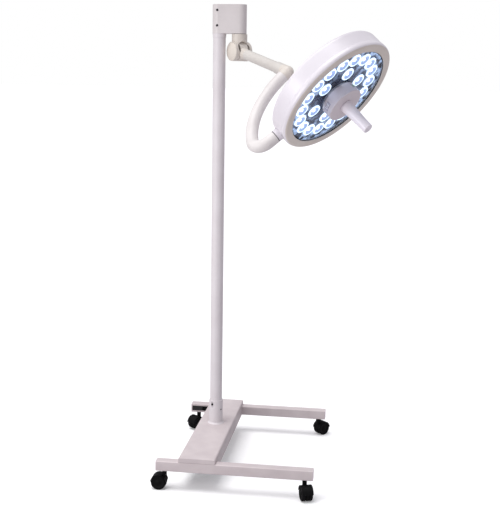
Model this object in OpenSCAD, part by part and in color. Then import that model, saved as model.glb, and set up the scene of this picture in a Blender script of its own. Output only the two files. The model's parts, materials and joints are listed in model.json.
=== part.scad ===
// Mobile surgical light: H-base on twin-wheel casters, pole, jointed arm,
// single-sided yoke and a round LED lamp head with a sterilisable handle.
// Millimetres, +Z up, origin on the floor under the pole's axis.

/* [Base] */
// Side of the square rail tube
rail_s = 40; // [30:1:50]
// Length of each rail
rail_len = 610; // [520:5:700]
// Distance from the front rail's front face to the back rail's back face
base_depth = 760; // [640:5:840]
// Length of rail to the left of the pole's axis
rail_left = 160; // [140:5:200]
// Distance of the pole's axis from the back rail's back face
pole_back = 320; // [240:5:380]
// Width of the cross channel
channel_w = 145; // [110:1:180]
// Height of the channel's top above the rails
channel_rise = 18; // [12:1:26]

/* [Casters] */
// Caster height from the floor to the rail
caster_h = 78; // [74:1:90]
// Radius of a caster wheel
wheel_r = 29.5; // [28:0.5:31]
// Width of one wheel of a pair
wheel_w = 17; // [14:0.5:19]
// Offset of the wheel axle from the swivel axis
caster_trail = 22; // [18:0.5:26]
// Distance of each swivel axis from the rail's end
caster_inset = 30; // [26:1:60]

/* [Pole] */
// Outer diameter of the pole
pole_d = 50.8; // [48:0.1:52]
// Height of the bracket's top above the floor
total_h = 1883; // [1700:1:2000]
// Height of the bracket
bracket_h = 114; // [110:1:140]
// Distance from the pole's axis to the arm's swivel axis
bracket_reach = 82; // [80:1:95]
// Radius of the bracket's round ends
bracket_r = 28; // [28:0.5:30]
// Height of the socket sleeve above the channel
socket_h = 102; // [60:1:120]

/* [Arm] */
// Height of the hinge axis below the bracket
knuckle_drop = 70; // [62:1:72]
// Radius of the hinge barrel
barrel_r = 38; // [36:0.5:38]
// Outer diameter of the arm tube
arm_d = 41; // [38:0.5:44]
// Distance from the hinge axis to the yoke's elbow
arm_len = 346; // [300:1:420]
// Compass direction of the arm as stored
arm_az = -48.7; // [-120:0.1:60]
// Drop of the arm below the horizontal as stored
arm_drop = 13.6; // [-20:0.1:40]

/* [Yoke] */
// Outer diameter of the yoke tube
yoke_d = 46; // [42:0.5:47]
// Distance from the elbow to the centre of the lamp head
yoke_reach = 280; // [276:1:300]
// Angle between the arm's axis and the head's pivot axis
yoke_open = 81.3; // [78:0.1:92]
// Centreline radius of the yoke's long bend
yoke_bend = 338; // [330:2:420]
// Centreline radius of the yoke's tight bend
yoke_turn = 44; // [42:1:50]
// Turn of the yoke about the arm as stored
yoke_roll = -136; // [-180:0.5:180]

/* [Lamp head] */
// Outer radius of the lamp head
head_r = 240; // [230:1:242]
// Distance from the pivot plane to the front face
head_front = 40; // [38:0.5:42]
// Distance from the pivot plane to the back face
head_back = 44; // [40:0.5:46]
// Turn of the head about its pivot as stored
head_roll = 60; // [-180:0.5:180]
// Radius of the window's visible edge
window_r = 206; // [200:1:208]
// Number of LED modules round the hub
pods = 6; // [5:1:6]
// Radius of the circle of inner lenses
lens_in_r = 100; // [98:1:102]
// Radius of the circle of outer lenses
lens_out_r = 162; // [158:1:164]
// Angle between neighbouring outer lenses
lens_step = 20; // [19:0.5:20]
// Radius of a lens's face
lens_r = 25.5; // [22:0.5:26]
// Radius of the centre hub
hub_r = 70; // [66:1:71]
// Height of the hub's face above the pivot plane
hub_top = 79; // [76:1:84]
// Height of the handle's tip above the pivot plane
handle_top = 203; // [180:1:206]
// Radius of the handle's straight stretch
handle_r = 18.5; // [17:0.5:19]

/* [Hidden] */
$fn = 96;

// Clearances: running fits, and gaps between bodies that move past each other
fit = 0.05;
gap = 0.3;
// A cut runs past the face it opens by this much
past = 1;
// Radial holes are drilled from inside a wall to well outside it
drill_in = 10;
drill_out = 60;

// Base
pole_r = pole_d / 2;
pole_wall = 2.5;
rail_wall = 2.5;
rail_corner = 4;
rail_z = caster_h;
rail_top = caster_h + rail_s;
front_y = pole_back - base_depth;
sheet = 3;
channel_top = rail_top + channel_rise;
channel_corner = 6;
socket_wall = 3.6;
socket_r = pole_r + fit + socket_wall;
socket_low = 84;
socket_flange_r = 45;
screw_hole_r = 3;
cable_r = 3.5;
cable_hole_r = 4.5;
cable_low = 106;

// Casters: place of each swivel axis and the stored direction of its trail
stem_r = 5.5;
stem_rise = 28;
stem_sleeve_r = 11;
stem_sleeve_h = 33;
stem_flange = 1.5;
wheel_gap = 9;
axle_r = 4;
hood_wall = 1.5;
hood_r = wheel_r + hood_wall + 0.5;
hood_w = wheel_gap + 2 * wheel_w + 2;
hood_low = 3;
web_half = wheel_gap / 2 - 0.7;
boss_r = 9;
boss_low = 50;
floor_gap = 6;
stem_x = [-rail_left + caster_inset, rail_len - rail_left - caster_inset];
stem_y = [front_y + rail_s / 2, pole_back - rail_s / 2];
CASTERS = [
    [stem_x[0], stem_y[0], 180],
    [stem_x[1], stem_y[0], -70],
    [stem_x[0], stem_y[1], -125],
    [stem_x[1], stem_y[1], 45],
];

// Bracket and knuckle
bracket_z = total_h - bracket_h;
bush_r = 20;
spigot_r = 15;
hinge_z = bracket_z - knuckle_drop;
neck_r = 31;
neck_low = 14;
cheek_in = 19;
cheek_out = 37;
cheek_bore_r = 14.5;
cheek_bore_in = 30;
barrel_half = 17;
pin_r = 8;
pin_half = 36;
pin_head_r = 13.5;
arm_r = arm_d / 2;
arm_wall = 2.5;
arm_up_stop = 22;
arm_tube_start = 60;

// Yoke, in its own plane: x runs from the head's centre to the elbow
yoke_r = yoke_d / 2;
yoke_wall = 2.5;
// The tight bend's wall is a hair thicker on both faces
bend_swell = 0.1;
elbow_leg = 24;
swivel_r = 13;
hub_reach = arm_len + yoke_reach;
bend_centre = [yoke_reach - yoke_bend, elbow_leg];
pivot_dir = [cos(yoke_open), sin(yoke_open)];
pivot_side = [-sin(yoke_open), cos(yoke_open)];
// The tight bend ends on the line through the head's centre
bend_angle = yoke_open
    + asin((-yoke_turn - bend_centre * pivot_side) / (yoke_bend - yoke_turn));
turn_centre = bend_centre + (yoke_bend - yoke_turn) * [cos(bend_angle), sin(bend_angle)];
turn_end = turn_centre * pivot_dir;
yoke_end = 259;
boss_end = 256;
pivot_r = 10;

// Lamp head
seam_z = 16;
shell_r = head_r - 1.5;
shell_wall = 3;
shell_corner = 14;
ring_corner = 13;
lip = 5;
window_t = 4;
window_z = head_front - lip - window_t;
gasket_t = 0.9;
plate_z = 23;
hub_foot_r = 60;
hub_seam = 70;
pod_angles = [for (k = [0 : pods - 1]) 50 + k * 360 / pods];
keypad_at = [326, 206];
keypad_z = 54;
key_pitch = 13;

// ---------- frames ----------

module knuckle_frame() {
    translate([bracket_reach, 0, hinge_z]) rotate([0, 0, arm_az]) children();
}

module arm_frame() {
    knuckle_frame() rotate([0, arm_drop, 0]) children();
}

// Origin at the head's centre, x towards the elbow, y towards the pivot's side
module yoke_frame() {
    arm_frame() translate([hub_reach, 0, 0]) rotate([yoke_roll, 0, 0])
        mirror([1, 0, 0]) mirror([0, 0, 1]) children();
}

// Origin at the head's centre, x along the pivot axis, z along the light
module head_frame() {
    arm_frame() translate([hub_reach, 0, 0]) rotate([yoke_roll, 0, 0])
        rotate([0, 0, 180 - yoke_open]) rotate([head_roll, 0, 0]) children();
}

// ---------- shared shapes ----------

module ring(r_out, r_in, h) {
    difference() {
        cylinder(r = r_out, h = h);
        translate([0, 0, -1]) cylinder(r = r_in, h = h + 2);
    }
}

module rounded_square(w, h, r) {
    translate([r, 0]) square([w - 2 * r, h]);
    translate([0, r]) square([w, h - 2 * r]);
    for (x = [r, w - r], y = [r, h - r]) translate([x, y]) circle(r, $fn = 32);
}

module obround(r, length) {
    circle(r);
    translate([length, 0]) circle(r);
    translate([0, -r]) square([length, 2 * r]);
}

// A cylinder along +X
module along_x(r, from, to) {
    translate([from, 0, 0]) rotate([0, 90, 0]) cylinder(r = r, h = to - from);
}

// A cylinder along +Y
module along_y(r, from, to) {
    translate([0, from, 0]) rotate([-90, 0, 0]) cylinder(r = r, h = to - from);
}

// ---------- base ----------

module rail(y) {
    difference() {
        translate([-rail_left, y, rail_z]) rotate([90, 0, 90]) linear_extrude(rail_len)
            difference() {
                rounded_square(rail_s, rail_s, rail_corner);
                translate([rail_wall, rail_wall])
                    rounded_square(rail_s - 2 * rail_wall, rail_s - 2 * rail_wall, 2);
            }
        for (x = stem_x) translate([x, y + rail_s / 2, rail_z - 1])
            cylinder(r = stem_sleeve_r + fit, h = rail_wall + 2);
        children();
    }
}

module rail_front() {
    color("#b4a5a8") rail(front_y);
}

inlet_x = -rail_left + 44;
inlet_w = 38;
inlet_h = 20;
inlet_plate = [-rail_left + 3, 80, 21];

module rail_back() {
    color("#b4a5a8") rail(pole_back - rail_s)
        translate([inlet_x, pole_back - rail_s - 1, rail_z + (rail_s - inlet_h) / 2])
            cube([inlet_w, rail_wall + 2, inlet_h]);
}

module rail_end_caps() {
    cap_t = 2.5;
    plug = rail_s - 2 * rail_wall - 0.4;
    color("#d8ccd0")
        for (y = [front_y, pole_back - rail_s], side = [0, 1])
            translate([side * rail_len - rail_left, y, rail_z]) mirror([side, 0, 0]) {
                rotate([90, 0, 90]) translate([0, 0, -cap_t]) linear_extrude(cap_t)
                    rounded_square(rail_s, rail_s, rail_corner);
                rotate([90, 0, 90]) linear_extrude(9)
                    translate([(rail_s - plug) / 2, (rail_s - plug) / 2])
                        rounded_square(plug, plug, 2);
            }
}

module channel_profile(inset, below) {
    w = channel_w - 2 * inset;
    r = channel_corner - inset;
    translate([-w / 2, -below]) square([w, channel_top - rail_z - inset - r + below]);
    translate([-w / 2 + r, 0]) square([w - 2 * r, channel_top - rail_z - inset]);
    for (s = [-1, 1]) translate([s * (w / 2 - r), channel_top - rail_z - inset - r])
        circle(r, $fn = 32);
}

// Sheet folded down at both sides and both ends, notched over the rails
module cross_channel() {
    color("#dccfd2") difference() {
        translate([0, pole_back, rail_z]) rotate([90, 0, 0]) linear_extrude(base_depth)
            channel_profile(0, 0);
        translate([0, pole_back - sheet, rail_z]) rotate([90, 0, 0])
            linear_extrude(base_depth - 2 * sheet) channel_profile(sheet, past);
        // notches over the rails
        translate([-channel_w, front_y - 1, rail_z - 1]) cube([2 * channel_w, rail_s + 1, rail_s + 1]);
        translate([-channel_w, pole_back - rail_s, rail_z - 1])
            cube([2 * channel_w, rail_s + 1, rail_s + 1]);
        translate([0, 0, channel_top - 2 * sheet]) cylinder(r = socket_r + fit, h = 3 * sheet);
    }
}

slot_az = -113;
slot_z = channel_top + socket_h - 16;
slot_r = 4.5;
slot_len = 22;
slot_half = slot_len / 2 - slot_r;
slot_screw_r = 4.2;
set_screw_az = -33;
set_screw_z = channel_top + socket_h - 39;
weld_h = 6;

// Hole that lets the lead into the foot of the pole
module cable_hole() {
    translate([0, 0, cable_low]) along_y(cable_hole_r, -drill_out, 0);
}

// Sleeve with a flange under the sheet and a weld bead on top of it
module pole_socket() {
    color("#e4d9dc") difference() {
        union() {
            translate([0, 0, socket_low]) cylinder(r = socket_r, h = channel_top + socket_h - socket_low);
            translate([0, 0, channel_top - 2 * sheet - 1]) cylinder(r = socket_flange_r, h = sheet + 1);
            translate([0, 0, channel_top]) cylinder(r1 = socket_r + weld_h, r2 = socket_r, h = weld_h);
        }
        translate([0, 0, socket_low - past]) cylinder(r = pole_r + fit, h = channel_top + socket_h);
        rotate([0, 0, slot_az]) for (dz = [-slot_half, slot_half])
            translate([0, 0, slot_z + dz]) along_x(slot_r, drill_in, drill_out);
        rotate([0, 0, slot_az]) translate([drill_in, -slot_r, slot_z - slot_half])
            cube([drill_out - drill_in, 2 * slot_r, 2 * slot_half]);
        rotate([0, 0, set_screw_az]) translate([0, 0, set_screw_z])
            along_x(screw_hole_r, drill_in, drill_out);
        cable_hole();
    }
}

module socket_screws() {
    color("#3a3236") {
        rotate([0, 0, slot_az]) translate([0, 0, slot_z]) difference() {
            along_x(slot_screw_r, pole_r + gap, socket_r + 2);
            along_x(2, socket_r - 1, socket_r + 3, $fn = 24);
        }
        rotate([0, 0, set_screw_az]) translate([0, 0, set_screw_z]) difference() {
            along_x(screw_hole_r - fit, pole_r + gap, socket_r + 0.8);
            along_x(1.5, socket_r - 1.5, socket_r + 3, $fn = 24);
        }
    }
}

module caster_sockets() {
    color("#262427") for (x = stem_x, y = stem_y) translate([x, y, 0]) difference() {
        union() {
            translate([0, 0, rail_z]) cylinder(r = stem_sleeve_r, h = stem_sleeve_h);
            translate([0, 0, rail_z - stem_flange]) cylinder(r = stem_sleeve_r + 2.5, h = stem_flange);
        }
        translate([0, 0, rail_z - 5]) cylinder(r = stem_r + fit, h = stem_rise + 8);
    }
}

// ---------- pole and bracket ----------

pole_low = 92;
pole_top = total_h - 14;
collar_h = 16;

module pole() {
    color("#e6dde2") difference() {
        translate([0, 0, pole_low]) ring(pole_r, pole_r - pole_wall, pole_top - pole_low);
        cable_hole();
    }
}

module pole_collar() {
    color("#ddd2d4") difference() {
        translate([0, 0, bracket_z - collar_h])
            cylinder(r1 = pole_r + 1, r2 = bracket_r - 0.2, h = collar_h);
        translate([0, 0, bracket_z - collar_h - past]) cylinder(r = pole_r + fit, h = 2 * collar_h);
    }
}

bracket_screw_z = [31, 91];
bracket_screw_r = 5;
bracket_screw_az = -101;
bracket_wall = 3;
bracket_floor = 6;
pocket = [20, 34];
cap_t = 3;
bush_h = 24;
bush_drop = 36;
nut_drop = 12;

module bracket_housing() {
    color("#d3cccc") difference() {
        translate([0, 0, bracket_z]) linear_extrude(bracket_h) obround(bracket_r, bracket_reach);
        // bore for the pole, bores for the bushes, and the wiring pocket on top
        translate([0, 0, bracket_z - past]) cylinder(r = pole_r + fit, h = pole_top - bracket_z + 2 * past);
        translate([bracket_reach, 0, bracket_z - past]) cylinder(r = bush_r + fit, h = bracket_h);
        translate([0, 0, pole_top]) linear_extrude(bracket_h) obround(bracket_r - bracket_wall, bracket_reach);
        translate([34, -pocket[1] / 2, bracket_z + bracket_floor]) cube([pocket[0], pocket[1], bracket_h]);
        for (z = bracket_screw_z) rotate([0, 0, bracket_screw_az]) translate([0, 0, bracket_z + z])
            along_x(bracket_screw_r, drill_in, drill_out);
    }
}

module bracket_cap() {
    color("#d8d0d2") translate([0, 0, total_h - cap_t]) linear_extrude(cap_t)
        obround(bracket_r - bracket_wall - fit, bracket_reach);
}

module bracket_screws() {
    color("#4a4448") for (z = bracket_screw_z) rotate([0, 0, bracket_screw_az])
        translate([0, 0, bracket_z + z]) difference() {
            along_x(bracket_screw_r - fit, pole_r + gap, bracket_r + 0.6);
            along_x(2.5, bracket_r - 1.2, bracket_r + 2, $fn = 24);
        }
}

module swivel_bushes() {
    flange = 1.5;
    color("#3b3a3c") translate([bracket_reach, 0, 0]) {
        translate([0, 0, bracket_z]) ring(bush_r, spigot_r + fit, bush_h);
        translate([0, 0, bracket_z - flange]) ring(bush_r + 5, spigot_r + fit, flange);
        translate([0, 0, bracket_z + bracket_h - bush_drop]) ring(bush_r, spigot_r + fit, bush_h);
    }
}

supply = [100, 200, 38];
supply_y = -330;
supply_gap = 5;

module power_supply() {
    edge = 8;
    top = channel_top - sheet - supply_gap;
    color("#8f9296") {
        translate([-supply[0] / 2, supply_y, top - supply[2]]) cube(supply);
        for (x = [edge, supply[0] - edge], y = [edge, supply[1] - edge])
            translate([x - supply[0] / 2, supply_y + y, top]) cylinder(r = 5, h = supply_gap);
    }
}

module mains_inlet() {
    face_y = pole_back - rail_s;
    mid_z = rail_z + rail_s / 2;
    inlet_mid = inlet_x + inlet_w / 2;
    color("#161517") difference() {
        union() {
            translate([inlet_plate[0], face_y - 2, mid_z - inlet_plate[2] / 2])
                cube([inlet_plate[1], 2, inlet_plate[2]]);
            translate([inlet_x + fit, face_y, mid_z - inlet_h / 2 + fit])
                cube([inlet_w - 2 * fit, 26, inlet_h - 2 * fit]);
        }
        translate([inlet_mid - 13.5, face_y - 3, mid_z - 8]) cube([27, 18, 16]);
    }
    color("#b9babd") for (dx = [-7, 0, 7])
        translate([inlet_mid + dx - 1, face_y + 2, mid_z - 2]) cube([2, 14, 4]);
}

// Lead from the supply to the pole, up the pole and across to the spigot
module pole_cable() {
    high = total_h - 8.5;
    supply_end = supply_y + supply[1];
    color("#2a2a2c") {
        translate([0, 0, cable_low]) along_y(cable_r, supply_end, 0, $fn = 24);
        translate([0, 0, cable_low]) sphere(cable_r, $fn = 24);
        translate([0, 0, cable_low]) cylinder(r = cable_r, h = high - cable_low, $fn = 24);
        translate([0, 0, high]) sphere(cable_r, $fn = 24);
        translate([0, 0, high]) along_x(cable_r, 0, bracket_reach - 24, $fn = 24);
    }
}

// ---------- casters ----------

module caster_place(i) {
    translate([CASTERS[i][0], CASTERS[i][1], 0]) rotate([0, 0, CASTERS[i][2]]) children();
}

// Hood over the wheels, open below, with the web between them, the boss and the stem
module caster_frame(i) {
    color("#1b1a1c") caster_place(i) difference() {
        union() {
            translate([caster_trail, 0, wheel_r]) intersection() {
                difference() {
                    along_y(hood_r, -hood_w / 2, hood_w / 2);
                    along_y(hood_r - hood_wall, -hood_w, hood_w);
                }
                translate([-hood_r - past, -hood_w, hood_low])
                    cube([2 * (hood_r + past), 2 * hood_w, hood_r]);
            }
            translate([caster_trail, 0, wheel_r]) along_y(hood_r - hood_wall / 2, -web_half, web_half);
            translate([0, 0, boss_low]) cylinder(r = boss_r, h = caster_h - 2 - boss_low);
            translate([0, 0, boss_low + 10]) cylinder(r = stem_r, h = rail_z + stem_rise - boss_low - 10);
        }
        // the boss leaves the wheels free, and the axle is pressed in the web
        for (s = [0, 1]) mirror([0, s, 0]) translate([caster_trail, 0, wheel_r])
            along_y(hood_r - hood_wall, web_half, hood_w / 2 - 0.5);
        translate([caster_trail, 0, wheel_r]) along_y(axle_r, -hood_w, hood_w);
        translate([-hood_r, -hood_w, floor_gap - hood_r]) cube([3 * hood_r, 2 * hood_w, hood_r]);
    }
}

module caster_axle(i) {
    half = wheel_gap / 2 + wheel_w - 2;
    color("#9a9ca0") caster_place(i) translate([caster_trail, 0, wheel_r]) along_y(axle_r, -half, half);
}

module caster_wheels(i) {
    tread = 4;
    dish = 3;
    color("#141315") caster_place(i) translate([caster_trail, 0, wheel_r])
        for (s = [0, 1]) mirror([0, s, 0]) translate([0, wheel_gap / 2, 0]) rotate([-90, 0, 0])
            difference() {
                rotate_extrude() {
                    square([wheel_r - tread, wheel_w]);
                    translate([0, tread]) square([wheel_r, wheel_w - 2 * tread]);
                    for (z = [tread, wheel_w - tread]) translate([wheel_r - tread, z]) circle(tread, $fn = 32);
                }
                translate([0, 0, -1]) cylinder(r = axle_r + fit, h = wheel_w - 1);
                translate([0, 0, wheel_w - dish]) cylinder(r1 = wheel_r - 10, r2 = wheel_r - 6, h = dish + 1);
            }
}

// ---------- knuckle ----------

module knuckle_fork() {
    color("#d6cdc2") knuckle_frame() difference() {
        union() {
            for (s = [-1, 1]) along_y(barrel_r, s > 0 ? cheek_in : -cheek_out, s > 0 ? cheek_out : -cheek_in);
            translate([0, 0, neck_low]) cylinder(r = neck_r, h = knuckle_drop - neck_low - 1.5 - gap);
            cylinder(r = spigot_r, h = knuckle_drop + bracket_h - 10);
        }
        along_y(barrel_r + 1.2, -cheek_in, cheek_in);
        // relief that lets the arm rise to its upper stop
        rotate([0, -arm_up_stop, 0]) along_x(arm_r + 6, 20, 80);
        along_y(pin_r + fit, -2 * cheek_out, 2 * cheek_out);
        for (s = [0, 1]) mirror([0, s, 0]) along_y(cheek_bore_r, cheek_bore_in, 2 * cheek_out);
    }
}

module spigot_nut() {
    color("#6c6d70") translate([bracket_reach, 0, bracket_z + bracket_h - nut_drop + gap])
        ring(bush_r - 0.5, spigot_r + fit, 5);
}

module hinge_pin() {
    color("#8a8c90") knuckle_frame() {
        along_y(pin_r, -pin_half, pin_half);
        for (s = [0, 1]) mirror([0, s, 0])
            along_y(pin_head_r, cheek_bore_in + 0.2, pin_half, $fn = 6);
    }
}

module friction_washers() {
    color("#474446") knuckle_frame() for (s = [0, 1]) mirror([0, s, 0])
        translate([0, barrel_half + gap, 0]) rotate([-90, 0, 0])
            ring(barrel_r - 0.6, pin_r + fit, cheek_in - barrel_half - gap);
}

cap_rise = 7;
cap_dome_r = 90;

// Shallow domed covers on both cheeks
module knuckle_caps() {
    r = barrel_r - 3;
    sink = sqrt(cap_dome_r * cap_dome_r - r * r);
    color("#ddd4c9") knuckle_frame() for (s = [0, 1]) mirror([0, s, 0])
        translate([0, cheek_out + fit, 0]) rotate([-90, 0, 0]) intersection() {
            cylinder(r = r, h = 30);
            translate([0, 0, -sink]) sphere(cap_dome_r, $fn = 128);
        }
}

// ---------- arm ----------

module arm_lug() {
    neck = 20;
    plug = 34;
    color("#d9d1c6") arm_frame() difference() {
        union() {
            along_y(barrel_r, -barrel_half, barrel_half);
            translate([neck, 0, 0]) rotate([0, 90, 0])
                cylinder(r1 = arm_r + 3, r2 = arm_r, h = arm_tube_start - neck);
            along_x(arm_r - arm_wall - fit, barrel_r, arm_tube_start + plug);
        }
        along_y(pin_r + fit, -2 * barrel_half, 2 * barrel_half);
        along_x(5, barrel_r, arm_len);
        // flats beside the barrel keep the neck clear of the cheeks
        for (s = [-1, 1]) translate([0, s * 1.5 * barrel_half, 0])
            cube([2 * barrel_r + 4, barrel_half, 3 * barrel_half], center = true);
    }
}

// The arm's own parts end a little short of the elbow's face
elbow_face = 26;
arm_end = arm_len - elbow_face - 0.4;
collar_len = 42.6;
swivel_bush_len = 59.6;

module arm_tube() {
    color("#ddd6cb") arm_frame() translate([arm_tube_start, 0, 0]) rotate([0, 90, 0])
        ring(arm_r, arm_r - arm_wall, arm_end - arm_tube_start);
}

module arm_collar() {
    color("#d2cabf") arm_frame() translate([arm_end - collar_len, 0, 0]) rotate([0, 90, 0])
        ring(yoke_r, arm_r + fit, collar_len);
}

module yoke_bush() {
    color("#3b3a3c") arm_frame() translate([arm_end - swivel_bush_len, 0, 0]) rotate([0, 90, 0])
        ring(arm_r - arm_wall - fit, swivel_r + fit, swivel_bush_len);
}

// ---------- yoke ----------

module yoke_elbow() {
    // in the yoke's plane: +x leads back to the arm, +y into the yoke tube
    plug = 18;
    color("#d4ccc1") yoke_frame() translate([yoke_reach, 0, 0]) {
        along_x(yoke_r, 0, elbow_face);
        // the ball's poles and seam lie inside the two legs
        rotate([90, 0, 45]) sphere(yoke_r + 0.8, $fn = 128);
        along_y(yoke_r, 0, elbow_leg - 0.2);
        along_y(yoke_r - yoke_wall - 1, elbow_leg / 2, elbow_leg + plug);
        along_x(swivel_r, elbow_face / 2, elbow_face + swivel_bush_len - 1);
    }
}

module yoke_arc(r) {
    translate([bend_centre[0], bend_centre[1], 0])
        rotate_extrude(angle = bend_angle, $fn = 180) translate([yoke_bend, 0]) circle(r);
}

module yoke_turn_arc(r) {
    translate([turn_centre[0], turn_centre[1], 0]) rotate([0, 0, bend_angle])
        rotate_extrude(angle = 90 + yoke_open - bend_angle) translate([yoke_turn, 0]) circle(r);
}

module yoke_leg(r) {
    rotate([0, 0, yoke_open]) along_x(r, yoke_end, turn_end);
}

module yoke_tube() {
    color("#dad2c8") yoke_frame() {
        difference() {
            yoke_arc(yoke_r);
            yoke_arc(yoke_r - yoke_wall);
        }
        difference() {
            yoke_turn_arc(yoke_r + bend_swell);
            yoke_turn_arc(yoke_r - yoke_wall - bend_swell);
        }
        difference() {
            yoke_leg(yoke_r);
            yoke_leg(yoke_r - yoke_wall);
        }
    }
}

module pivot_shaft() {
    color("#96989c") yoke_frame() rotate([0, 0, yoke_open]) {
        along_x(pivot_r, 192, yoke_end + 4);
        along_x(yoke_r - yoke_wall - fit, yoke_end, yoke_end + 26);
    }
}

module pivot_seal() {
    color("#57524f") yoke_frame() rotate([0, 0, yoke_open]) difference() {
        along_x(yoke_r - 0.8, boss_end + gap, yoke_end - 0.1);
        along_x(pivot_r + fit, boss_end - 2, yoke_end + 2);
    }
}

// ---------- lamp head ----------

// Half outline of the shell: a straight side and a rounded back corner
module shell_outline(inset) {
    r = shell_r - inset;
    c = shell_corner - inset;
    low = -head_back + inset;
    translate([0, low]) square([r - c, seam_z - low]);
    translate([0, low + c]) square([r, seam_z - low - c]);
    translate([r - c, low + c]) circle(c, $fn = 48);
}

dome_r = 120;
dome_h = 12;

module back_shell() {
    color("#e9e2ea") head_frame() difference() {
        union() {
            difference() {
                union() {
                    rotate_extrude($fn = 180) intersection() {
                        shell_outline(0);
                        translate([0, -200]) square([400, 200 + seam_z - 0.4]);
                    }
                    translate([0, 0, -head_back - dome_h + 0.01]) cylinder(r1 = dome_r - 20, r2 = dome_r, h = dome_h);
                }
                rotate_extrude($fn = 180) intersection() {
                    shell_outline(shell_wall);
                    translate([0, -200]) square([400, 400]);
                }
                translate([0, 0, -head_back - dome_h + shell_wall])
                    cylinder(r1 = dome_r - 22, r2 = dome_r - 3, h = dome_h);
                translate([0, 0, seam_z - 1]) cylinder(r = shell_r - shell_wall, h = 4, $fn = 180);
            }
            // pivot boss outside and bearing housing inside
            difference() {
                along_x(yoke_r, shell_r - 12, boss_end);
                translate([0, 0, seam_z - 0.4]) cylinder(r = head_r + 0.5, h = 40, $fn = 180);
                cylinder(r = shell_r - shell_wall, h = 60, center = true);
            }
            intersection() {
                along_x(15, 194, shell_r - 1);
                translate([0, -20, -20]) cube([300, 40, 20 + seam_z - 0.6]);
            }
        }
        along_x(13 + fit, 190, 300);
    }
}

module ring_outline() {
    translate([0, seam_z]) square([head_r - ring_corner, head_front - seam_z]);
    translate([0, seam_z]) square([head_r, head_front - seam_z - ring_corner]);
    translate([head_r - ring_corner, head_front - ring_corner]) circle(ring_corner, $fn = 48);
}

module front_ring() {
    seat = window_r + 7.5;
    color("#d8cbc6") head_frame() rotate_extrude($fn = 180) difference() {
        intersection() {
            ring_outline();
            translate([0, seam_z]) square(400);
        }
        translate([0, -1]) square([window_r, 100]);
        translate([0, -1]) square([seat, head_front - lip + gasket_t + 1]);
        translate([0, -1]) square([head_r - 3.5, head_front - ring_corner - 2]);
    }
}

module window() {
    color([0.86, 0.93, 0.97, 0.35]) head_frame() translate([0, 0, window_z])
        ring(window_r + 3.4, hub_foot_r + 1.5, window_t, $fn = 180);
}

module window_gasket() {
    color("#2c2b2e") head_frame() {
        translate([0, 0, window_z]) ring(window_r + 7.3, window_r + 3.5, window_t, $fn = 180);
        translate([0, 0, window_z + window_t]) ring(window_r + 7.3, window_r - 2.4, gasket_t, $fn = 180);
    }
}

module heat_sink() {
    fins = 24;
    color("#b6b8bb") head_frame() difference() {
        union() {
            translate([0, 0, 0]) cylinder(r = 186, h = 4, $fn = 180);
            for (k = [0 : fins - 1]) rotate([0, 0, k * 360 / fins + 7.5])
                translate([92, -1.5, -20]) cube([88, 3, 20.5]);
        }
        translate([0, 0, -1]) cylinder(r = 20, h = 10);
    }
}

// Places children at every lens of the head
module at_lenses() {
    for (a = pod_angles) {
        rotate([0, 0, a]) translate([lens_in_r, 0, 0]) children();
        for (k = [-1, 0, 1]) rotate([0, 0, a + k * lens_step]) translate([lens_out_r, 0, 0]) children();
    }
}

module led_boards() {
    color("#eef0ee") head_frame() {
        for (a = pod_angles) translate([0, 0, 4]) linear_extrude(1.6) {
            rotate(a) translate([lens_in_r, 0]) circle(17, $fn = 48);
            rotate(a) translate([lens_in_r, -9]) square([50, 18]);
            for (k = [-1, 0, 1]) rotate(a + k * lens_step) translate([lens_out_r, 0]) circle(17, $fn = 48);
            for (k = [-0.5, 0.5]) rotate(a + k * lens_step) translate([lens_out_r - 10, -20]) square([20, 40]);
        }
        translate([0, 0, 5.6]) at_lenses() cylinder(r = 4.5, h = 1.6, $fn = 24);
    }
}

module lens_plate() {
    color("#3d4254") head_frame() difference() {
        translate([0, 0, plate_z]) cylinder(r = window_r + 4, h = 2, $fn = 180);
        translate([0, 0, plate_z - 1]) at_lenses() cylinder(r = lens_r + 0.6, h = 4, $fn = 64);
        translate([0, 0, plate_z - 1]) cylinder(r = hub_foot_r + 1.5, h = 4);
    }
}

module lenses() {
    color([0.93, 0.97, 1, 0.5]) head_frame() translate([0, 0, 7.6]) at_lenses() difference() {
        union() {
            cylinder(r1 = 11, r2 = lens_r, h = 16, $fn = 64);
            translate([0, 0, 16]) cylinder(r = lens_r, h = 5, $fn = 64);
        }
        translate([0, 0, 8]) cylinder(r = 10, h = 20, $fn = 48);
    }
}

module driver_board() {
    color("#2f6b4a") head_frame() {
        translate([-60, -50, -36]) cube([120, 100, 1.6]);
        for (x = [-45, -15, 20]) translate([x, -30, -34.4]) cube([18, 24, 11]);
        for (x = [-40, -10, 20, 45]) translate([x, 28, -34.4]) cylinder(r = 6, h = 12, $fn = 32);
    }
}

// Places children on the hub's side, x outwards
module at_keypad(k) {
    rotate([0, 0, keypad_at[k]]) translate([0, 0, keypad_z]) children();
}

pad_w = 34;
pad_h = 17;
pad_face = hub_r - 1.2;
key_half = 4.5;

module hub_housing() {
    color("#e6dde2") head_frame() difference() {
        union() {
            translate([0, 0, 4]) cylinder(r = hub_foot_r, h = hub_seam - 4);
            translate([0, 0, window_z + window_t + 1]) cylinder(r = hub_r, h = hub_seam - window_z - window_t - 1);
        }
        translate([0, 0, 3]) cylinder(r = hub_foot_r - 3, h = hub_seam - 6);
        for (k = [0, 1]) at_keypad(k) translate([pad_face - 6, -pad_w / 2, -pad_h / 2]) cube([20, pad_w, pad_h]);
        translate([0, 0, 60]) cylinder(r = 12, h = 20);
    }
}

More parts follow.
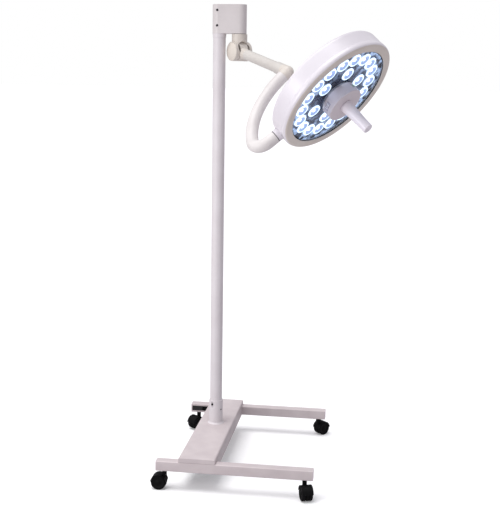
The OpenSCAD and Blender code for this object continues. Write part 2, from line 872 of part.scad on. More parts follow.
module hub_face() {
    edge = 3;
    color("#d9cfcd") head_frame() translate([0, 0, hub_seam + 0.2]) rotate_extrude() {
        h = hub_top - hub_seam - 0.2;
        translate([12, 0]) square([hub_r - edge - 12, h]);
        translate([12, 0]) square([hub_r - 12, h - edge]);
        translate([hub_r - edge, h - edge]) circle(edge, $fn = 32);
    }
}

// Bezel plates with two windows each, in pockets in the hub's side
module keypads() {
    color("#b9b4bd") head_frame() for (k = [0, 1]) at_keypad(k) difference() {
        translate([pad_face - 2, -pad_w / 2 + fit, -pad_h / 2 + fit])
            cube([2, pad_w - 2 * fit, pad_h - 2 * fit]);
        for (s = [-0.5, 0.5]) translate([pad_face - 4, s * key_pitch - key_half - gap, -key_half - gap])
            cube([8, 2 * (key_half + gap), 2 * (key_half + gap)]);
    }
}

module key(k, side) {
    head_frame() at_keypad(k) translate([pad_face - 3.6, side * key_pitch - key_half, -key_half])
        cube([5, 2 * key_half, 2 * key_half]);
}

module key_dim_up() {
    color("#eceaf0") key(0, 0.5);
}

module key_dim_down() {
    color("#eceaf0") key(0, -0.5);
}

module key_power() {
    color("#9fc79f") key(1, 0.5);
}

module key_mode() {
    color("#eceaf0") key(1, -0.5);
}

module pivot_bush() {
    color("#3b3a3c") head_frame() difference() {
        along_x(13, 194, boss_end - 1);
        along_x(pivot_r + fit, 180, 300);
    }
}

socket_top = 150;

module handle_socket() {
    color("#a9abaf") head_frame() translate([0, 0, 64]) cylinder(r = 12 - fit, h = socket_top - 64);
}

module handle_grip() {
    flare = 23.5;
    straight = 168;
    foot = hub_top + gap;
    color("#e8e2ea") head_frame() difference() {
        union() {
            translate([0, 0, foot]) cylinder(r1 = flare, r2 = handle_r, h = straight - foot);
            translate([0, 0, straight]) cylinder(r = handle_r, h = handle_top - straight - 2);
            translate([0, 0, handle_top - 2]) cylinder(r1 = handle_r, r2 = handle_r - 1.5, h = 2);
        }
        translate([0, 0, foot - 1]) cylinder(r = 12, h = socket_top - foot + 2);
        translate([0, 0, handle_top - 2]) cylinder(r = handle_r - 5, h = 5);
    }
}

rail_front();
rail_back();
rail_end_caps();
cross_channel();
pole_socket();
socket_screws();
caster_sockets();
pole();
pole_collar();
bracket_housing();
bracket_cap();
bracket_screws();
swivel_bushes();
power_supply();
mains_inlet();
pole_cable();
caster_frame(0);  // caster_fl_frame
caster_axle(0);  // caster_fl_axle
caster_wheels(0);  // caster_fl_wheels
caster_frame(1);  // caster_fr_frame
caster_axle(1);  // caster_fr_axle
caster_wheels(1);  // caster_fr_wheels
caster_frame(2);  // caster_bl_frame
caster_axle(2);  // caster_bl_axle
caster_wheels(2);  // caster_bl_wheels
caster_frame(3);  // caster_br_frame
caster_axle(3);  // caster_br_axle
caster_wheels(3);  // caster_br_wheels
knuckle_fork();
spigot_nut();
hinge_pin();
friction_washers();
knuckle_caps();
arm_lug();
arm_tube();
arm_collar();
yoke_bush();
yoke_elbow();
yoke_tube();
pivot_shaft();
pivot_seal();
back_shell();
front_ring();
window();
window_gasket();
heat_sink();
led_boards();
lens_plate();
lenses();
driver_board();
hub_housing();
hub_face();
keypads();
pivot_bush();
handle_socket();
key_dim_up();
key_dim_down();
key_power();
key_mode();
handle_grip();
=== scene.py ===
# %% [markdown]
# # A mobile surgical light, piece by piece
#
# The frame of this lamp (rails, pole, arm, yoke and head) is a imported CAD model, already at its real
# size in metres. Here it gets its finishes. The pieces whose looks need more than CAD's plain solids
# are modelled again: the lenses, the bezel, the handle and the wheels. Sharp pieces get soft edges,
# and the keys get their printed signs.

# %% Load the frame
import json
import math

import bmesh
import bpy
from mathutils import Matrix, Vector


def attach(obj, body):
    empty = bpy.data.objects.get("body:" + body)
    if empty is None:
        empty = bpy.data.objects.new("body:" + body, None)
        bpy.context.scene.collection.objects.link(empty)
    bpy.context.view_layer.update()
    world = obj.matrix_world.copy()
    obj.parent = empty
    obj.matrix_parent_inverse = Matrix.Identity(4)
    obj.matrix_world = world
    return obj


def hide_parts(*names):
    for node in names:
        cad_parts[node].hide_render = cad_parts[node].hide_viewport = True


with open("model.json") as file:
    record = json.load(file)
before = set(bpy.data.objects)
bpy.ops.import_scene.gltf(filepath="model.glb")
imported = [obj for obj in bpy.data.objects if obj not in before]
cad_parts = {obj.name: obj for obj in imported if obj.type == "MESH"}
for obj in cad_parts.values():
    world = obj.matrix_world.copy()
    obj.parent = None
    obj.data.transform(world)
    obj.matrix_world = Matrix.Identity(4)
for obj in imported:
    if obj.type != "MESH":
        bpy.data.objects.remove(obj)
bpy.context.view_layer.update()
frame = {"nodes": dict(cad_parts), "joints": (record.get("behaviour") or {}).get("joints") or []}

MM = 0.001

# %% [markdown]
# ## Where the moving parts sit
#
# The lamp head hangs askew in space, so its pieces are easier to draw lying flat and then carried
# into place. The joints in the frame say where each part turns, and that gives two such places: one
# for the head, with z along the light and x along its pivot, and one for each caster.

# %% Places taken from the joints
JOINTS = {joint["name"]: joint for joint in frame["joints"]}


def joint_place(name):
    joint = JOINTS[name]
    return Vector(joint["pos_m"]), Vector(joint["axis"]).normalized()


def place_from_axes(origin, x_axis, z_axis):
    turn = Matrix((x_axis, z_axis.cross(x_axis), z_axis)).transposed()
    return Matrix.Translation(origin) @ turn.to_4x4()


head_centre, pivot_axis = joint_place("head_tilt")
beam_axis = joint_place("handle_twist")[1]
HEAD = place_from_axes(head_centre, pivot_axis, beam_axis)


def span(node, place):
    """Lowest and highest corner of a CAD node in a place's own axes, and its points"""
    back = place.inverted()
    points = [back @ vertex.co for vertex in frame["nodes"][node].data.vertices]
    low = Vector([min(point[i] for point in points) for i in range(3)])
    high = Vector([max(point[i] for point in points) for i in range(3)])
    return low, high, points


ring_low, ring_high, _ = span("front_ring", HEAD)
print("lamp head radius, mm:", round(ring_high.x / MM), "front at", round(ring_high.z / MM))

# %% [markdown]
# ## The camera, the floor and the light
#
# The camera stands a little right of the base's middle, at chest height, looking slightly down with
# a long lens. The floor is a plain white sheet lit by one broad overhead sun with soft edges, and a
# softbox at the left brings out the side of the head. The world only fills the shadows. The sheet
# bounces less light than a real white one would, so that the undersides keep their shading.

# %% Camera
CAMERA_PLACE = (0.69, -4.05, 1.573)
CAMERA_TURN, CAMERA_DROP, CAMERA_ROLL = 7.77, 9.62, 0.86
camera_data = bpy.data.cameras.new("studio_camera")
camera_data.lens = 71.09
camera = bpy.data.objects.new("studio_camera", camera_data)
camera.matrix_world = (
    Matrix.Translation(CAMERA_PLACE)
    @ Matrix.Rotation(math.radians(CAMERA_TURN), 4, "Z")
    @ Matrix.Rotation(math.radians(90 - CAMERA_DROP), 4, "X")
    @ Matrix.Rotation(math.radians(CAMERA_ROLL), 4, "Z")
)
scene = bpy.context.scene
scene.collection.objects.link(camera)
scene.camera = camera
scene.view_settings.view_transform = "Standard"
print("camera lens, mm:", camera_data.lens)

# %% A helper for nodes, and one for colours


def linear(hex_code):
    """sRGB hex to the linear colour that shaders take"""
    channels = [int(hex_code[i:i + 2], 16) / 255 for i in (1, 3, 5)]
    return [c / 12.92 if c <= 0.04045 else ((c + 0.055) / 1.055) ** 2.4 for c in channels] + [1.0]


def add_node(tree, kind, settings=None, inputs=None):
    """Add one node with its settings; an input is a value or a socket to link from"""
    node = tree.nodes.new(kind)
    for key, value in (settings or {}).items():
        setattr(node, key, value)
    for key, value in (inputs or {}).items():
        if isinstance(value, bpy.types.NodeSocket):
            tree.links.new(value, node.inputs[key])
        else:
            node.inputs[key].default_value = value
    return node


# %% Floor and lights
FLOOR_SIZE = 600.0
PAPER_GLOW = 0.16
SUN_STRENGTH, SUN_SPREAD = 2.0, 40
SOFTBOX_WATTS, SOFTBOX_SIZE, SOFTBOX_SPREAD = 17, (1.4, 1.8), 110
FILL_STRENGTH = 0.52
floor_mesh = bpy.data.meshes.new("studio_floor")
bm = bmesh.new()
bmesh.ops.create_grid(bm, x_segments=1, y_segments=1, size=FLOOR_SIZE / 2)
bm.to_mesh(floor_mesh)
bm.free()
floor = bpy.data.objects.new("studio_floor", floor_mesh)
scene.collection.objects.link(floor)
floor_paper = bpy.data.materials.new("white_paper_roll")
floor_paper.use_nodes = True
floor_tree = floor_paper.node_tree
floor_tree.nodes.clear()
lit_sheet = add_node(floor_tree, "ShaderNodeBsdfPrincipled", inputs={
    "Base Color": linear("#f7f7f7"), "Roughness": 0.9,
    "Emission Color": linear("#ffffff"), "Emission Strength": PAPER_GLOW})
dull_sheet = add_node(floor_tree, "ShaderNodeBsdfDiffuse", inputs={"Color": linear("#c2bfc2")})
floor_ray = add_node(floor_tree, "ShaderNodeLightPath")
floor_blend = add_node(floor_tree, "ShaderNodeMixShader", inputs={
    0: floor_ray.outputs["Is Camera Ray"], 1: dull_sheet.outputs[0], 2: lit_sheet.outputs[0]})
add_node(floor_tree, "ShaderNodeOutputMaterial", inputs={"Surface": floor_blend.outputs[0]})
floor_mesh.materials.append(floor_paper)


def add_light(name, kind, energy, place, target, **settings):
    data = bpy.data.lights.new(name, kind)
    data.energy = energy
    for key, value in settings.items():
        setattr(data, key, value)
    lamp = bpy.data.objects.new(name, data)
    lamp.location = place
    lamp.rotation_euler = (Vector(target) - Vector(place)).to_track_quat("-Z", "Y").to_euler()
    scene.collection.objects.link(lamp)


add_light("overhead_sun", "SUN", SUN_STRENGTH, (-1.0, -0.75, 6), (0, 0, 0),
          angle=math.radians(SUN_SPREAD))
add_light("left_softbox", "AREA", SOFTBOX_WATTS, (-1.8, -2.3, 1.25), (0.35, -0.3, 1.5),
          shape="RECTANGLE", size=SOFTBOX_SIZE[0], size_y=SOFTBOX_SIZE[1],
          spread=math.radians(SOFTBOX_SPREAD))

world = bpy.data.worlds.new("studio_world")
scene.world = world
world.use_nodes = True
tree = world.node_tree
tree.nodes.clear()
fill = add_node(tree, "ShaderNodeBackground", inputs={"Color": linear("#f6f4fc"), "Strength": FILL_STRENGTH})
seen = add_node(tree, "ShaderNodeBackground", inputs={"Color": linear("#ffffff"), "Strength": 1.0})
ray = add_node(tree, "ShaderNodeLightPath")
blend = add_node(tree, "ShaderNodeMixShader",
                 inputs={0: ray.outputs["Is Camera Ray"], 1: fill.outputs[0], 2: seen.outputs[0]})
add_node(tree, "ShaderNodeOutputWorld", inputs={"Surface": blend.outputs[0]})

# %% [markdown]
# ## Finishes of metal parts
#
# The stand, the bracket and the arm are powder coated: dry powder melts into a skin that is never
# quite flat, and the eye reads that orange peel as soft, slightly broken highlights. One function
# makes every such coat, because they differ only in colour and gloss. The ripple's real pitch is
# about 1.5 mm; it is a bump and not a displacement, because the skin is only 0.1 mm thick.

# %% Powder coat
ORANGE_PEEL_MM = 1.5
CLOUD_MM = 90


def object_position(tree):
    return add_node(tree, "ShaderNodeTexCoord").outputs["Object"]


def noise(tree, size_mm, detail=2.0, roughness=0.5):
    return add_node(tree, "ShaderNodeTexNoise", inputs={
        "Vector": object_position(tree), "Scale": 1 / (size_mm * MM),
        "Detail": detail, "Roughness": roughness})


def clouded(tree, light_hex, dark_hex, size_mm):
    """A colour that drifts slowly between two close tones"""
    drift = noise(tree, size_mm, detail=3.0)
    ramp = add_node(tree, "ShaderNodeValToRGB", inputs={"Fac": drift.outputs["Fac"]})
    ramp.color_ramp.elements[0].position = 0.35
    ramp.color_ramp.elements[0].color = linear(dark_hex)
    ramp.color_ramp.elements[1].position = 0.65
    ramp.color_ramp.elements[1].color = linear(light_hex)
    return ramp.outputs["Color"]


def bumped(tree, height, depth_mm, strength=1.0):
    return add_node(tree, "ShaderNodeBump", inputs={
        "Height": height, "Distance": depth_mm * MM, "Strength": strength}).outputs["Normal"]


def new_material(name, **values):
    material = bpy.data.materials.new(name)
    material.use_nodes = True
    shader = material.node_tree.nodes["Principled BSDF"]
    for key, value in values.items():
        shader.inputs[key.replace("_", " ").title().replace("Ior", "IOR")].default_value = value
    return material, material.node_tree, shader


def powder_coat(name, light_hex, dark_hex, roughness=0.42):
    material, tree, shader = new_material(name, roughness=roughness)
    tree.links.new(clouded(tree, light_hex, dark_hex, CLOUD_MM), shader.inputs["Base Color"])
    peel = noise(tree, ORANGE_PEEL_MM, detail=1.0)
    tree.links.new(bumped(tree, peel.outputs["Fac"], 0.05, 0.5), shader.inputs["Normal"])
    return material


base_coat = powder_coat("powder_coat_rose_grey", "#d0c6c6", "#c6bbbc", 0.45)
stand_coat = powder_coat("powder_coat_warm_white", "#ddd8da", "#d7d1d3", 0.5)
bracket_coat = powder_coat("powder_coat_stone_white", "#d7d1d0", "#d0cac9", 0.42)
arm_coat = powder_coat("powder_coat_cream", "#d2cec8", "#cac5bf", 0.46)
yoke_coat = powder_coat("powder_coat_yoke_white", "#dfdbd9", "#d8d3d1", 0.46)
casting_coat = powder_coat("powder_coat_on_casting", "#d8d1c8", "#cfc7be", 0.48)
print("powder coats made")

# %% [markdown]
# ## Finishes of plastic and rubber parts
#
# The head, hub and handle are injection moulded. Their tools are spark eroded, which leaves a fine
# even grain of about 0.4 mm that takes the hard edge off reflections. The grain is drawn at 0.8 mm,
# because it is too fine to show. Nylon for the casters has the same grain but soaks up light.

# %% Moulded plastics and rubber
SPARK_GRAIN_MM = 0.8


def moulded(name, light_hex, dark_hex, roughness=0.34, grain=0.02, coat=0.0, specular=0.5):
    material, tree, shader = new_material(
        name, roughness=roughness, coat_weight=coat, ior=1.53, specular_ior_level=specular)
    shader.inputs["Coat Roughness"].default_value = 0.2
    tree.links.new(clouded(tree, light_hex, dark_hex, 140), shader.inputs["Base Color"])
    pits = noise(tree, SPARK_GRAIN_MM, detail=2.0)
    tree.links.new(bumped(tree, pits.outputs["Fac"], grain, 0.5), shader.inputs["Normal"])
    return material


shell_abs = moulded("moulded_abs_lavender", "#e8e4e9", "#e1dce2", 0.33, coat=0.1)
# The bezel's face gets a warmer, darker grey than the shell: painted shade, as that face looks down.
bezel_abs_painted_shade = moulded("moulded_abs_bezel_painted_shade", "#dcd4cb", "#d3cac0", 0.40)
hub_abs = moulded("moulded_abs_hub", "#d6cdd2", "#cfc5ca", 0.36)
handle_psu = moulded("autoclavable_handle_plastic", "#f0ebf1", "#eae4eb", 0.36)
cap_plastic = moulded("moulded_cap_polypropylene", "#ded3d6", "#d6cace", 0.5)
knuckle_cap_plastic = moulded("moulded_cap_cream", "#dfd7cc", "#d8d0c4", 0.42)
black_nylon = moulded("moulded_black_nylon", "#0b0a0b", "#070708", 0.6, 0.03, specular=0.12)
dark_acetal = moulded("turned_dark_acetal", "#4a4648", "#3d3a3c", 0.45)
washer_fibre = moulded("pressed_fibre_washer", "#9a928c", "#8c857f", 0.6)
keypad_film = moulded("keypad_bezel_plastic", "#b7b0bd", "#aca5b3", 0.4)
key_white = moulded("key_cap_white", "#efecf3", "#e8e5ec", 0.4)
key_green = moulded("key_cap_green", "#93c193", "#88b688", 0.4)
tread_rubber = moulded("moulded_tread_rubber", "#0d0c0e", "#080809", 0.75, 0.05, specular=0.12)
seal_rubber = moulded("extruded_gasket_rubber", "#17161a", "#111013", 0.6, 0.02)
cable_pvc = moulded("extruded_cable_jacket", "#2b2a2d", "#232225", 0.5)
print("mouldings made")

# %% [markdown]
# ## Bare metal and electronics
#
# Steel pins are turned, so fine rings run round them; the heat sink is an anodised extrusion, and
# the supply's case is zinc plated sheet with its cloudy spangle. These parts are mostly hidden, but
# they show when the head is opened or the base is seen from below.

# %% Metals, boards and the window


def bare_metal(name, light_hex, dark_hex, roughness, streak_mm, size_mm=2.0):
    """Metal with streaks: the coordinates are squeezed along z, across the tool's path"""
    material, tree, shader = new_material(name, metallic=1.0)
    squeeze = add_node(tree, "ShaderNodeMapping", inputs={
        "Vector": object_position(tree), "Scale": (1.0, 1.0, size_mm / streak_mm)})
    streaks = add_node(tree, "ShaderNodeTexNoise", inputs={
        "Vector": squeeze.outputs[0], "Scale": 1 / (size_mm * MM), "Detail": 3.0})
    tone = add_node(tree, "ShaderNodeMix", {"data_type": "RGBA"}, {
        "Factor": streaks.outputs["Fac"], 6: linear(light_hex), 7: linear(dark_hex)})
    tree.links.new(tone.outputs[2], shader.inputs["Base Color"])
    gloss = add_node(tree, "ShaderNodeMapRange", inputs={
        "Value": streaks.outputs["Fac"], "To Min": roughness - 0.06, "To Max": roughness + 0.08})
    tree.links.new(gloss.outputs[0], shader.inputs["Roughness"])
    return material


turned_steel = bare_metal("turned_steel", "#c9cacd", "#a9abaf", 0.28, 0.4)
black_oxide = bare_metal("black_oxide_steel", "#3a383c", "#2a282b", 0.42, 0.6)
zinc_sheet = bare_metal("zinc_plated_sheet", "#b4b7ba", "#969a9e", 0.4, 12.0, 12.0)
heat_sink_metal = bare_metal("anodised_heat_sink", "#c5c7ca", "#a8abaf", 0.35, 1.0)
# Plain black for the strip at the back rail's left end, the CAD node mains_inlet; that it is an inlet is not
# known.
black_rail_strip_finish = moulded("moulded_black_strip_thermoset", "#0f0e10", "#0a090b", 0.5)
solder_mask_white = moulded("solder_mask_white", "#f3f4f2", "#e9ebe9", 0.3)
board_green = moulded("glass_epoxy_board", "#2f6b4a", "#28593e", 0.35)


def clear_acrylic(name):
    """A thin clear sheet: what is behind shows unchanged, with a faint sheen that grows at a glance"""
    material = bpy.data.materials.new(name)
    material.use_nodes = True
    tree = material.node_tree
    tree.nodes.clear()
    clear = add_node(tree, "ShaderNodeBsdfTransparent", inputs={"Color": linear("#f3f8fb")})
    sheen = add_node(tree, "ShaderNodeBsdfGlossy", inputs={"Color": linear("#ffffff"), "Roughness": 0.03})
    facing = add_node(tree, "ShaderNodeLayerWeight", inputs={"Blend": 0.5})
    glance = add_node(tree, "ShaderNodeMapRange", inputs={
        "Value": facing.outputs["Facing"], "From Min": 0.45, "From Max": 1.0,
        "To Min": 0.02, "To Max": 0.14})
    both = add_node(tree, "ShaderNodeMixShader",
                    inputs={0: glance.outputs[0], 1: clear.outputs[0], 2: sheen.outputs[0]})
    add_node(tree, "ShaderNodeOutputMaterial", inputs={"Surface": both.outputs[0]})
    return material


window_acrylic = clear_acrylic("clear_acrylic_window")
print("metals, boards and window made")

# %% [markdown]
# ## The light itself
#
# Each LED sits under a clear moulded collimator. Lit, its core and outer rim glow white and the
# cone between them stays a deeper blue, because it sends its light forwards and not to the side.
# So a lens has three finishes, one for each zone, and each is a plain emitter of its own colour.
# The plate between the lenses is a glossy dark slate. The bright patches of sideways light on it are
# painted light, the plate's own glow, mostly in the outer ring where the lenses stand close together.

# %% Lit lens zones and the reflector plate


def glowing(name, hex_code, strength, base_hex="#dfe8f5"):
    material, _, shader = new_material(name, roughness=0.12, emission_strength=strength, ior=1.49)
    shader.inputs["Emission Color"].default_value = linear(hex_code)
    shader.inputs["Base Color"].default_value = linear(base_hex)
    return material


lens_rim_lit = glowing("lit_lens_rim", "#e2efff", 1.6)
lens_cone_lit = glowing("lit_lens_cone", "#b4c5ec", 0.66, "#8795bf")
lens_core_lit = glowing("lit_lens_core", "#eef6ff", 2.8)


PAINTED_GLOW_FROM_MM, PAINTED_GLOW_TO_MM, PAINTED_GLOW_PATCH_MM = 95, 150, 22


def slate_reflector(name):
    material, tree, shader = new_material(name, metallic=0.55, roughness=0.24)
    tree.links.new(clouded(tree, "#475274", "#333b57", 70), shader.inputs["Base Color"])
    grain = noise(tree, SPARK_GRAIN_MM)
    tree.links.new(bumped(tree, grain.outputs["Fac"], 0.02, 0.4), shader.inputs["Normal"])
    # Painted light: a patchy glow in the plate's outer ring stands in for the lenses' sideways light on it.
    from_hub = add_node(tree, "ShaderNodeVectorMath", {"operation": "DISTANCE"}, {
        0: object_position(tree), 1: head_centre})
    among_lenses = add_node(tree, "ShaderNodeMapRange", inputs={
        "Value": from_hub.outputs["Value"], "From Min": PAINTED_GLOW_FROM_MM * MM, "From Max": PAINTED_GLOW_TO_MM * MM})
    patches = noise(tree, PAINTED_GLOW_PATCH_MM, detail=1.0)
    painted_light_patch_mask = add_node(tree, "ShaderNodeMapRange", inputs={
        "Value": patches.outputs["Fac"], "From Min": 0.44, "From Max": 0.62})
    glow = add_node(tree, "ShaderNodeMath", {"operation": "MULTIPLY"}, {
        0: among_lenses.outputs[0], 1: painted_light_patch_mask.outputs[0]})
    tree.links.new(glow.outputs[0], shader.inputs["Emission Strength"])
    shader.inputs["Emission Color"].default_value = linear("#b9cdf2")
    return material


reflector_with_painted_glow = slate_reflector("slate_reflector_painted_glow")
print("lens zones and plate made")

# %% [markdown]
# ## Give each CAD piece its finish
#
# Most CAD pieces already have the right shape, so they only get a material in their own slot. The
# table below reads like a finishing list in a workshop: which coat goes on which piece.

# %% Finishing list
FINISHES = {
    base_coat: ["rail_front", "rail_back", "cross_channel"],
    cap_plastic: ["rail_end_caps"],
    stand_coat: ["pole_socket", "pole", "pole_collar"],
    bracket_coat: ["bracket_housing", "bracket_cap"],
    black_oxide: ["socket_screws", "bracket_screws"],
    black_nylon: ["caster_sockets"] + [f"caster_{c}_frame" for c in ("fl", "fr", "bl", "br")],
    black_rail_strip_finish: ["mains_inlet"],
    dark_acetal: ["swivel_bushes", "yoke_bush", "pivot_bush", "pivot_seal"],
    washer_fibre: ["friction_washers"],
    zinc_sheet: ["power_supply"],
    cable_pvc: ["pole_cable"],
    turned_steel: ["spigot_nut", "hinge_pin", "pivot_shaft", "handle_socket"]
    + [f"caster_{c}_axle" for c in ("fl", "fr", "bl", "br")],
    tread_rubber: [f"caster_{c}_wheels" for c in ("fl", "fr", "bl", "br")],
    casting_coat: ["knuckle_fork", "arm_lug", "yoke_elbow"],
    knuckle_cap_plastic: ["knuckle_caps"],
    arm_coat: ["arm_tube", "arm_collar"],
    yoke_coat: ["yoke_tube"],
    shell_abs: ["back_shell"],
    bezel_abs_painted_shade: ["front_ring"],
    window_acrylic: ["window"],
    seal_rubber: ["window_gasket"],
    heat_sink_metal: ["heat_sink"],
    solder_mask_white: ["led_boards"],
    reflector_with_painted_glow: ["lens_plate"],
    lens_core_lit: ["lenses"],
    board_green: ["driver_board"],
    hub_abs: ["hub_housing", "hub_face"],
    keypad_film: ["keypads"],
    key_white: ["key_dim_up", "key_dim_down", "key_mode"],
    key_green: ["key_power"],
    handle_psu: ["handle_grip"],
}
for finish, names in FINISHES.items():
    for name in names:
        for material_slot in frame["nodes"][name].material_slots:
            material_slot.material = finish
finished = sum(FINISHES.values(), [])
print("finished nodes:", len(finished), "missing:", sorted(set(frame["nodes"]) - set(finished)))

# %% [markdown]
# ## Turned shapes
#
# Lenses, wheels, the handle and the bezel are all turned shapes. A few points make half of the
# outline, and bmesh's spin sweeps it once round. One helper closes the seam, merges the points on
# the axis and turns the faces outwards; another puts the finished shape on its body.

# %% Helpers for new pieces


def turned(outline, steps=64, zones=None):
    """Spin an outline of (radius, height) in mm round z; zones give each span's material number"""
    bm = bmesh.new()
    points = [bm.verts.new((radius * MM, 0, height * MM)) for radius, height in outline]
    edges = [bm.edges.new(pair) for pair in zip(points, points[1:])]
    heights = [(a.co.z + b.co.z, a.co.x + b.co.x) for a, b in zip(points, points[1:])]
    bmesh.ops.spin(bm, geom=points + edges, cent=(0, 0, 0), axis=(0, 0, 1), dvec=(0, 0, 0),
                   angle=math.tau, steps=steps, use_merge=True, use_normal_flip=False,
                   use_duplicate=False)
    bmesh.ops.remove_doubles(bm, verts=bm.verts, dist=1e-6)
    bmesh.ops.recalc_face_normals(bm, faces=bm.faces)
    if zones:
        for face in bm.faces:
            height = 2 * sum(v.co.z for v in face.verts) / len(face.verts)
            reach = sum(v.co.xy.length for v in face.verts) * 2 / len(face.verts)
            gaps = [(height - z) ** 2 + (reach - r) ** 2 for z, r in heights]
            face.material_index = zones[gaps.index(min(gaps))]
    return bm


def rounded_corner(centre, radius, start, end, steps=5):
    """Points of an arc in an outline: centre (radius, height) and radius in mm, angles in degrees"""
    turn = [math.radians(start + (end - start) * i / steps) for i in range(steps + 1)]
    return [(centre[0] + radius * math.cos(a), centre[1] + radius * math.sin(a)) for a in turn]


def piece_from(bm, name, body, materials, place=Matrix.Identity(4), replaces=()):
    """Carry a shape to its place, make it an object and let it ride on its body"""
    bm.transform(place)
    mesh = bpy.data.meshes.new(name)
    for face in bm.faces:
        face.smooth = True
    bm.to_mesh(mesh)
    bm.free()
    for material in materials:
        mesh.materials.append(material)
    piece = bpy.data.objects.new(name, mesh)
    scene.collection.objects.link(piece)
    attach(piece, body)
    if replaces:
        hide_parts(*replaces)
    return piece


def copies(bm, places):
    """One mesh that holds a copy of a small shape at every place"""
    small = bpy.data.meshes.new("small_shape")
    bm.to_mesh(small)
    bm.free()
    whole = bmesh.new()
    for place in places:
        before = len(whole.verts)
        whole.from_mesh(small)
        whole.verts.ensure_lookup_table()
        bmesh.ops.transform(whole, matrix=place, verts=whole.verts[before:])
    bpy.data.meshes.remove(small)
    return whole


# %% [markdown]
# ## The lenses
#
# Where the lenses stand is read from the CAD node, as the middle of each of its separate solids, so
# the detailed lenses can't drift from the plate's holes. Each is turned: a rounded rim, a cone that
# falls to a deep ring, and a small dome over the LED.

# %% Find the lens centres


def solid_middles(node, place):
    """The middle of each separate solid of a CAD node, in the place's own axes"""
    bm = bmesh.new()
    bm.from_mesh(frame["nodes"][node].data)
    bmesh.ops.transform(bm, matrix=place.inverted(), verts=bm.verts)
    bmesh.ops.remove_doubles(bm, verts=bm.verts, dist=1e-6)
    middles, left = [], set(bm.verts)
    while left:
        found, front = set(), [left.pop()]
        while front:
            vertex = front.pop()
            found.add(vertex)
            for edge in vertex.link_edges:
                other = edge.other_vert(vertex)
                if other in left:
                    left.remove(other)
                    front.append(other)
        low = Vector([min(v.co[i] for v in found) for i in range(3)])
        high = Vector([max(v.co[i] for v in found) for i in range(3)])
        middles.append(((low + high) / 2, low, high))
    bm.free()
    return sorted(middles, key=lambda m: (round(m[0].xy.length, 4), math.atan2(m[0].y, m[0].x)))


lens_spots = solid_middles("lenses", HEAD)
lens_low, lens_high = lens_spots[0][1], lens_spots[0][2]
lens_r = (lens_high.x - lens_low.x) / 2 / MM
lens_top = lens_high.z / MM
print("lenses:", len(lens_spots), "radius, mm:", round(lens_r, 1), "top:", round(lens_top, 1))

# %% Turn one lens and copy it to every spot
RIM_W, RIM_EDGE = 6.5, 1.5
CORE_R = 7.0
LENS_FOOT_R = 11.0
lens_outline = (
    [(LENS_FOOT_R, lens_low.z / MM), (lens_r, lens_top - 5.0)]
    + rounded_corner((lens_r - RIM_EDGE, lens_top - RIM_EDGE), RIM_EDGE, 0, 90, 3)
    + [(lens_r - RIM_W, lens_top)]
    + [(lens_r - RIM_W - 1.0, lens_top - 1.5), (CORE_R + 2.5, lens_top - 7.0)]
    + [(CORE_R + 0.5, lens_top - 7.6)]
    + [(CORE_R, lens_top - 6.0), (CORE_R * 0.8, lens_top - 3.4), (CORE_R * 0.45, lens_top - 2.0)]
    + [(0.0, lens_top - 1.6)]
)
RIM, CONE, CORE = 0, 1, 2
lens_zones = [RIM] * 6 + [CONE] * 3 + [CORE] * 4
print("outline points:", len(lens_outline), "zones:", len(lens_zones))
lens_shape = turned(lens_outline, 40, lens_zones)
lens_places = [Matrix.Translation((spot[0].x, spot[0].y, 0)) for spot in lens_spots]
lens_array = piece_from(
    copies(lens_shape, lens_places), "lit_lenses", "head",
    [lens_rim_lit, lens_cone_lit, lens_core_lit], HEAD, ["lenses"])
print("lens faces:", len(lens_array.data.polygons))

# %% [markdown]
# ## The bezel
#
# The real bezel is one moulding that clips over the shell's rim. Its side carries on the shell's
# colour and its face is a warmer, darker grey: painted shade, as the face looks down and lies in
# shade. The lip that presses on the window's gasket is rounded, so it is turned again here
# with that soft lip; the sizes come from the CAD ring.

# %% Turn the bezel
RING_R, RING_FRONT = ring_high.x / MM, ring_high.z / MM
RING_BACK = ring_low.z / MM
CORNER, LIP_ROUND, RING_WALL = 13.0, 2.0, 3.5
SEAT_W = 7.5
_, _, ring_points = span("front_ring", HEAD)
LIP_R = min(point.xy.length for point in ring_points) / MM
LIP_BACK = min(point.z for point in ring_points if point.xy.length < (LIP_R + 1) * MM) / MM
bezel_outline = (
    [(RING_R - RING_WALL, RING_BACK), (RING_R - 0.8, RING_BACK), (RING_R, RING_BACK + 0.8)]
    + rounded_corner((RING_R - CORNER, RING_FRONT - CORNER), CORNER, 0, 90, 8)
    + [(LIP_R + 8.0, RING_FRONT - 0.2), (LIP_R + 4.0, RING_FRONT - 0.6)]
    + rounded_corner((LIP_R + LIP_ROUND, RING_FRONT - 0.8 - LIP_ROUND), LIP_ROUND, 90, 180, 4)
    + [(LIP_R, LIP_BACK), (LIP_R + SEAT_W, LIP_BACK), (LIP_R + SEAT_W, LIP_BACK - 6.0)]
    + [(RING_R - RING_WALL, LIP_BACK - 10.0), (RING_R - RING_WALL, RING_BACK)]
)
# The face zone takes the darker bezel finish: painted shade on the downward face.
SIDE, PAINTED_SHADE_FACE = 0, 1
bezel_zones = [SIDE] * 7 + [PAINTED_SHADE_FACE] * (len(bezel_outline) - 8)
bezel = piece_from(
    turned(bezel_outline, 180, bezel_zones), "bezel_moulding", "head",
    [shell_abs, bezel_abs_painted_shade], HEAD, ["front_ring"])
print("bezel lip radius, mm:", round(LIP_R, 1), "faces:", len(bezel.data.polygons))

# %% [markdown]
# ## The handle
#
# The grip is pulled off and sterilised after each use, so its surface has no corners that hold dirt:
# a wide foot, a long taper, and a tip with a rounded edge round a shallow dish. A draw of about three
# degrees lets it leave its mould. It is turned from one outline with the CAD grip's own sizes.

